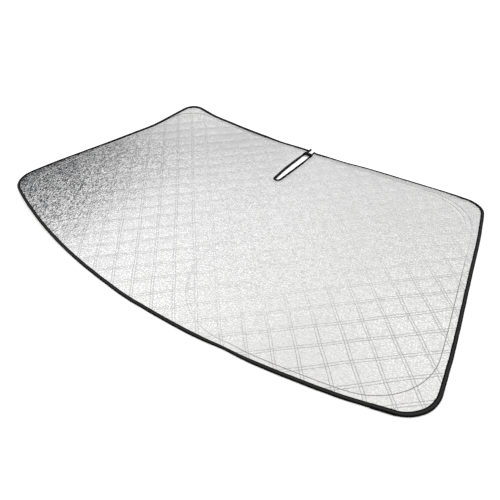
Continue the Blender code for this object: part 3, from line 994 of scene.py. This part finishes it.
    def snap_rim(self, bm: bmesh.types.BMesh) -> None:
        """Draw a trimmed face's rim out to the sheet's cut edge."""
        rim = [v for v in bm.verts if v.is_boundary]
        step = self.rim_step
        for _ in range(self.rim_rounds):
            x, y = np.array([(v.co.x, v.co.y) for v in rim]).T
            inward = self.inward(x, y)
            slope_x = (self.inward(x + step, y) - inward) / step
            slope_y = (self.inward(x, y + step) - inward) / step
            size = np.maximum(slope_x ** 2 + slope_y ** 2, self.least_slope)
            for vertex, a, b in zip(rim, slope_x * inward / size, slope_y * inward / size):
                vertex.co.x -= a
                vertex.co.y -= b

    def build(self, foil: Material, cloth: Material) -> bpy.types.Object:
        """Make the whole sheet.

        Args:
            foil: Material of the front.
            cloth: Material of the back and the rim.

        Returns:
            The sheet's object.
        """
        bm = self.face(self.front_columns, self.front_height)
        bmesh.ops.recalc_face_normals(bm, faces=bm.faces)
        back = self.face(self.back_columns, self.back_height)
        for f in back.faces:
            f.material_index = 1
        joined = bpy.data.meshes.new("backing")
        back.to_mesh(joined)
        back.free()
        bm.from_mesh(joined)
        bpy.data.meshes.remove(joined)
        rims = [e for e in bm.edges if e.is_boundary]
        walls = bmesh.ops.bridge_loops(bm, edges=rims)["faces"]
        for f in walls:
            f.material_index = 1
        bmesh.ops.recalc_face_normals(bm, faces=bm.faces)
        item = finished("quilted_sheet", bm, [foil, cloth])
        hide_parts("quilted_panel")
        return item


@dataclass
class Tape:
    """A tape swept along a line. Its section is given as distances into the shade and heights."""

    name: str
    line: Line
    section: Sequence[Pair]
    pattern: Pattern
    replaces: Optional[str] = None
    slot: str = "tape"
    waver: float = 0.0
    waver_scale: float = 30.0
    waver_seed: float = 5.0
    fold: Optional[Callable[[float, float, float], float]] = None

    def build(self, material: Material) -> bpy.types.Object:
        """Make the tape.

        Args:
            material: The tape's material.

        Returns:
            The tape's object.
        """
        section = np.array([*self.section, self.section[0]])
        around = np.concatenate([[0.0], np.cumsum(np.hypot(*np.diff(section, axis=0).T))])
        stations, ring = len(self.line.points) - 1, len(section) - 1
        bm = bmesh.new()
        bmesh.ops.create_grid(bm, x_segments=stations, y_segments=ring, size=0.5)
        layer = bm.loops.layers.uv.new("tape")
        for vertex in bm.verts:
            i = round((vertex.co.x + 0.5) * stations)
            j = round((vertex.co.y + 0.5) * ring)
            for loop in vertex.link_loops:
                loop[layer].uv = (self.line.along[i], around[j])
            inward, height = section[j]
            if self.fold:
                inward = self.fold(inward, *self.line.points[i])
            beat = Vector((self.line.along[i] * self.waver_scale, 0.0, self.waver_seed))
            stray = self.waver * noise.noise(beat)
            x, y = self.line.points[i] - self.line.outward[i] * (inward + stray)
            vertex.co = (*self.pattern.laid(x, y), height + float(self.pattern.lift(x, y)))
        bmesh.ops.remove_doubles(bm, verts=bm.verts, dist=WELD)
        if not self.line.closed:
            bmesh.ops.holes_fill(bm, edges=[e for e in bm.edges if e.is_boundary], sides=0)
        bmesh.ops.recalc_face_normals(bm, faces=bm.faces)
        item = finished(self.name, bm, [material])
        if self.replaces:
            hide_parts(self.replaces)
        return item


@dataclass
class Trimmings:
    """The bindings, the slot's strap, the hoops and their channels."""

    pattern: Pattern
    tape_thickness: float = 0.0014
    tape_rounding: float = 0.0026
    bound_thickness: float = 0.0054
    round_steps: int = 4
    lip_steps: tuple[Pair, ...] = ((0.0, 0.0007), (0.0006, 0.0001), (0.0017, 0.0003), (0.0029, 0.0))
    lip_foot: Pair = (0.0006, 0.0005)
    crown: float = 0.0001
    clearance: float = 0.0003
    lip_margin: float = 0.0010
    strap_width: float = 0.020
    strap_overlap: float = 0.0045
    lap_from: float = 0.600
    lap_to: float = 0.655
    lap_rise: float = 0.0006
    strap_thickness: float = 0.0012
    strap_from_mouth: float = 0.030
    hoop_strip_width: float = 0.0030
    hoop_strip_thickness: float = 0.0007
    channel_width: float = 0.0090
    channel_floor: float = 0.0004
    channel_height: float = 0.0014
    channel_play: float = 0.0008
    spacing: float = 0.006
    edge_waver: float = 0.0005
    far_side: float = 0.3
    right_fold: tuple[Pair, Pair] = ((0.03, 0.07), (0.44, 0.12))
    left_fold: tuple[Pair, Pair] = ((0.12, 0.10), (-0.05, 0.15))
    fold_shares: Pair = (-0.60, 0.30)
    fold_spots: tuple[Spot, ...] = ((-0.27, 0.30, -0.404, 0.05), (0.13, 0.68, -0.30, 0.07))
    mouth_clear: Pair = (0.045, 0.05)
    slot_folds: tuple[Pair, Pair] = ((0.32, 0.0020), (0.34, 0.0016))
    strap_steps: int = 12
    strap_edge: float = 0.0004

    def folded(self, lip: float) -> list[Pair]:
        """Return the section of a tape folded over the sheet's edge, from its upper lip round."""
        top, thick, round_ = self.bound_thickness, self.tape_thickness, self.tape_rounding
        outer = []
        for centre_z, first in ((top - round_, 90), (round_, 180)):
            for step in range(self.round_steps + 1):
                angle = math.radians(first + step * 90 / self.round_steps)
                outer.append((round_ + round_ * math.cos(angle), centre_z + round_ * math.sin(angle)))
        outer = list(dict.fromkeys(outer))
        upper = [(lip - back, top - down) for back, down in self.lip_steps]
        upper.append(((lip + round_) / 2, top + self.crown))
        lower = [(lip / 2, 0.0), (lip - self.lip_foot[0], 0.0), (lip, self.lip_foot[1])]
        inner = [(lip, thick), (thick, thick), (thick, top - thick), (lip, top - thick)]
        return upper + outer + lower + inner

    def edge_tape(self) -> Tape:
        """Return the tape round the shade's rim, from one side of the slot to the other."""
        slot = self.pattern.slot_mouth_width / 2 + self.pattern.slot_lip
        gap = slot + self.lip_margin + self.clearance
        height = self.pattern.upper_edge_height(gap)
        places = self.pattern.edge().places(self.spacing, Vector((-gap, height)), Vector((gap, height)))
        section = self.folded(self.pattern.edge_lip)
        return Tape("edge_tape", sampled_line(places, False), section, self.pattern,
                    "edge_binding", waver=self.edge_waver, fold=self.edge_fold)

    def edge_fold(self, inward: float, x: float, y: float) -> float:
        """Return how far in a line of the edge tape lies where it is folded wider or narrower.

        Args:
            inward: How far in it lies on an evenly folded tape.
            x: Place along the shade.
            y: Place across it.

        Returns:
            The distance inwards.
        """
        right = ease(x, *self.right_fold[0]) * (1 - ease(x, *self.right_fold[1])) * (y > self.far_side)
        left = ease(-x, *self.left_fold[0]) * ease(y, *self.left_fold[1])
        change = self.fold_shares[0] * right + self.fold_shares[1] * left
        return float(inward * (1 + change + hills(x, y, self.fold_spots)))

    def edge_lap(self) -> Tape:
        """Return the end of the edge tape, lapped over its start near the lower right corner."""
        places = [(p, n) for p, n in self.pattern.edge().places(self.spacing)
                  if self.lap_from < p.x < self.lap_to and p.y < 0]
        rise = self.lap_rise
        section = [(inward - rise if inward < self.tape_rounding else inward + rise / 2,
                    height + rise if height > self.bound_thickness / 2 else height)
                   for inward, height in self.folded(self.pattern.edge_lip)[:-4]]
        return Tape("edge_tape_lap", sampled_line(places, False), section, self.pattern,
                    fold=self.edge_fold)

    def slot_tape(self) -> Tape:
        """Return the tape round the mirror slot."""
        places = self.pattern.slot_places(self.spacing)
        section = self.folded(self.pattern.slot_lip)
        return Tape("slot_tape", sampled_line(places, False), section, self.pattern,
                    "slot_binding", fold=self.slot_fold)

    def slot_fold(self, inward: float, x: float, y: float) -> float:
        """Return how far out of the slot a line of its tape lies.

        The tape is folded fuller away from the mouth, and a little differently on its two sides.

        Args:
            inward: How far out it lies on an evenly folded tape.
            x: Place along the shade.
            y: Place across it.

        Returns:
            The distance from the slot's edge.
        """
        from_mouth = self.pattern.upper_edge_height(0.0) - y
        share = float(ease(from_mouth, *self.mouth_clear))
        wide, full = self.slot_folds[x >= 0]
        return inward * (1 + wide * share) - full * share

    def hoop_line(self, side: Side) -> Line:
        """Return the line of the hoop on one side."""
        places = self.pattern.right_hoop().places(self.spacing)
        if side is Side.LEFT:
            places = mirrored(places)[::-1]
        return sampled_line(places, True)

    def channel(self, side: Side) -> Tape:
        """Return the tape channel sewn over one hoop."""
        outer, top, floor = self.channel_width / 2, self.channel_height, self.channel_floor
        inner = self.hoop_strip_width / 2 + self.channel_play
        section = [(-outer, top), (-outer, top - floor), (-inner - floor, floor / 2), (-inner, 0.0),
                   (inner, 0.0), (inner + floor, floor / 2), (outer, top - floor), (outer, top),
                   (inner, top), (inner, floor), (-inner, floor), (-inner, top)]
        name = side.name.lower()
        return Tape(name + "_channel_tape", self.hoop_line(side), section, self.pattern,
                    name + "_hoop_casing", slot="backing_cloth")

    def hoop(self, side: Side) -> Tape:
        """Return one spring hoop."""
        half, top = self.hoop_strip_width / 2, self.channel_height
        low = top - self.hoop_strip_thickness
        name = side.name.lower()
        return Tape(name + "_spring_hoop", self.hoop_line(side),
                    [(-half, low), (half, low), (half, top), (-half, top)], self.pattern,
                    name + "_hoop", slot="spring_steel")

    def strap(self) -> Tape:
        """Return the strap across the slot's bound edges, near its mouth."""
        reach = self.pattern.slot_middle_width / 2 + self.strap_overlap
        centre_y = self.pattern.upper_edge_height(0.0) - self.strap_from_mouth
        count = self.strap_steps
        places = [(Vector((reach - 2 * reach * step / count, centre_y + self.strap_width / 2)),
                   Vector((0.0, 1.0))) for step in range(count + 1)]
        low = self.bound_thickness + self.clearance
        top, width, edge = low + self.strap_thickness, self.strap_width, self.strap_edge
        high = top + self.crown
        section = [(edge, top), (width / 4, high), (width / 2, top), (width * 3 / 4, high),
                   (width - edge, top), (width, top - edge), (width, low + edge), (width - edge, low),
                   (edge, low), (0.0, low + edge), (0.0, top - edge)]
        return Tape("slot_strap_tape", sampled_line(places, False), section, self.pattern, "slot_strap")


# Room

@dataclass(frozen=True)
class Studio:
    """White floor, soft light and the camera."""

    camera_place: tuple[float, float, float] = (0.7346, -0.7948, 0.7815)
    camera_axes: tuple[tuple[float, float, float], ...] = (
        (0.78230, -0.37691, 0.49592), (0.62070, 0.53856, -0.56982), (-0.05231, 0.75358, 0.65527))
    lens: float = 32.458
    sensor: float = 36.0
    clip: Pair = (0.01, 200.0)
    floor_size: float = 60.0
    floor_drop: float = 0.0004
    floor_colour: str = "FFFFFF"
    floor_glow: float = 0.24
    horizon_span: Pair = (0.38, 0.64)
    horizon_levels: Pair = (0.66, 1.05)
    side_span: Pair = (-0.35, -0.66)
    side_levels: Pair = (0.94, 1.16)
    right_span: Pair = (-0.34, -0.14)
    right_height: Pair = (0.58, 0.69)
    right_gain: float = 0.10
    upper_span: Pair = (0.73, 0.84)
    upper_loss: float = 0.12
    overhead_span: Pair = (0.93, 0.99)
    overhead_boost: float = 0.15
    warm_span: Pair = (0.74, 0.84)
    cool_tone: tuple[float, ...] = (1.0, 1.0, 1.0, 1.0)
    warm_tone: tuple[float, ...] = (1.0, 0.992, 0.950, 1.0)
    gauze_colour: str = "1C2233"
    gauze_place: Pair = (-0.83, 0.3)
    gauze_foot: float = 0.03
    gauze_size: Pair = (0.86, 2.2)
    gauze_fade: Pair = (0.43, 0.10)
    gauze_fall: Pair = (0.35, -0.35)
    gauze_thins: Pair = (-0.05, 0.30)
    gauze_cover: Pair = (0.96, 0.48)
    lamp_place: tuple[float, float, float] = (0.2, 0.0, 5.0)
    lamp_size: float = 5.0
    lamp_watts: float = 60.0
    lamp_colour: str = "FFFEFA"

    def camera(self) -> None:
        """Set the camera where the photographer stood."""
        data = bpy.data.cameras.new("camera")
        data.lens, data.sensor_width, data.sensor_fit = self.lens, self.sensor, "AUTO"
        data.clip_start, data.clip_end = self.clip
        item = bpy.data.objects.new("camera", data)
        bpy.context.scene.collection.objects.link(item)
        item.matrix_world = Matrix.Translation(self.camera_place) @ Matrix(self.camera_axes).to_4x4()
        bpy.context.scene.camera = item

    def floor(self) -> None:
        """Lay the white floor."""
        bm = bmesh.new()
        bmesh.ops.create_grid(bm, x_segments=1, y_segments=1, size=self.floor_size / 2)
        material, tree = new_material("white_floor")
        rays = [add(tree, "LightPath", out=kind) for kind in ("Is Camera Ray", "Is Glossy Ray")]
        glow = maths(tree, "MULTIPLY", maths(tree, "MAXIMUM", *rays), self.floor_glow)
        surface(tree, {"Base Color": linear(self.floor_colour), "Roughness": 0.9,
                       "Specular IOR Level": 0.0, "Emission Color": linear(self.floor_colour),
                       "Emission Strength": glow})
        item = placed("floor", bm, [material])
        item.location.z = -self.floor_drop

    def gauze(self) -> None:
        """Stand a dark graded gauze to the left of the shade, which only its reflections see.

        It is thinner and lower towards its far end, so the far side of the shade reflects less of it.
        """
        height, _ = self.gauze_size
        x, y = self.gauze_place
        bm = bmesh.new()
        bmesh.ops.create_grid(bm, x_segments=1, y_segments=1, size=0.5)
        bmesh.ops.scale(bm, verts=bm.verts, vec=(*self.gauze_size, 1.0))
        bmesh.ops.rotate(bm, verts=bm.verts, matrix=Matrix.Rotation(math.radians(90), 3, "Y"))
        bmesh.ops.translate(bm, verts=bm.verts, vec=(x, y, height / 2 + self.gauze_foot))
        material, tree = new_material("dark_gauze")
        place = add(tree, "TexCoord", out="Object")
        along, up = part(tree, place, "Y"), part(tree, place, "Z")
        start, slope = self.gauze_fall
        beyond = maths(tree, "MAXIMUM", maths(tree, "SUBTRACT", along, start), 0.0)
        level = maths(tree, "MULTIPLY_ADD", beyond, slope, up)
        cover = ramp(tree, along, self.gauze_thins, self.gauze_cover)
        share = maths(tree, "MULTIPLY", ramp(tree, level, self.gauze_fade, eased=True), cover)
        surface(tree, {"Base Color": linear(self.gauze_colour), "Roughness": 1.0,
                       "Specular IOR Level": 0.0, "Alpha": share})
        item = placed("dark_gauze", bm, [material])
        item.visible_camera = item.visible_diffuse = item.visible_shadow = False

    def lamp(self) -> None:
        """Hang a square soft lamp over the shade, which its reflections don't see."""
        data = bpy.data.lights.new("overhead", "AREA")
        data.shape, data.size, data.energy = "SQUARE", self.lamp_size, self.lamp_watts
        data.color = linear(self.lamp_colour)[:3]
        item = bpy.data.objects.new("overhead", data)
        item.location = self.lamp_place
        towards = Vector((0.0, 0.0, 0.0)) - Vector(self.lamp_place)
        item.rotation_euler = towards.to_track_quat("-Z", "Y").to_euler()
        item.visible_glossy = False
        bpy.context.scene.collection.objects.link(item)

    def sky(self) -> None:
        """Surround the room with pale light that is graded by height and side."""
        world = bpy.data.worlds.new("studio")
        bpy.context.scene.world = world
        world.use_nodes = True
        tree = world.node_tree
        tree.nodes.clear()
        direction = add(tree, "TexCoord", out="Generated")
        up, aside = part(tree, direction, "Z"), part(tree, direction, "X")
        level = ramp(tree, up, self.horizon_span, self.horizon_levels, True)
        level = maths(tree, "MULTIPLY", level, ramp(tree, aside, self.side_span, self.side_levels))
        right = ramp(tree, aside, self.right_span, (0.0, self.right_gain), True)
        level = maths(tree, "MULTIPLY_ADD", right, ramp(tree, up, self.right_height), level)
        for span, change in ((self.upper_span, -self.upper_loss),
                             (self.overhead_span, self.overhead_boost)):
            level = maths(tree, "ADD", level, ramp(tree, up, span, (0.0, change), True))
        colour = tinted(tree, ramp(tree, up, self.warm_span), self.cool_tone, self.warm_tone)
        light = add(tree, "Background", {"Color": colour, "Strength": level})
        output = tree.nodes.new("ShaderNodeOutputWorld")
        tree.links.new(light, output.inputs["Surface"])

    def build(self) -> None:
        """Set up the whole room."""
        self.camera()
        self.floor()
        self.gauze()
        self.sky()
        self.lamp()
        bpy.context.scene.view_settings.view_transform = "Standard"


def main() -> None:
    """Build the shade and its room."""
    logging.basicConfig(level=logging.INFO)
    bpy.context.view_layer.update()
    Studio().build()
    pattern, quilting = Pattern(), Quilting()
    foil, cloth = EmbossedFoil(quilting).material(), BackingCloth().material()
    tape, steel = WovenTape().material(), SpringSteel().material()
    panel = QuiltedPanel(pattern, quilting).build(foil, cloth)
    trimmings = Trimmings(pattern)
    trimmings.edge_tape().build(tape)
    trimmings.edge_lap().build(tape)
    trimmings.slot_tape().build(tape)
    trimmings.strap().build(tape)
    for side in Side:
        trimmings.channel(side).build(cloth)
        trimmings.hoop(side).build(steel)


if __name__ == "__main__":
    main()
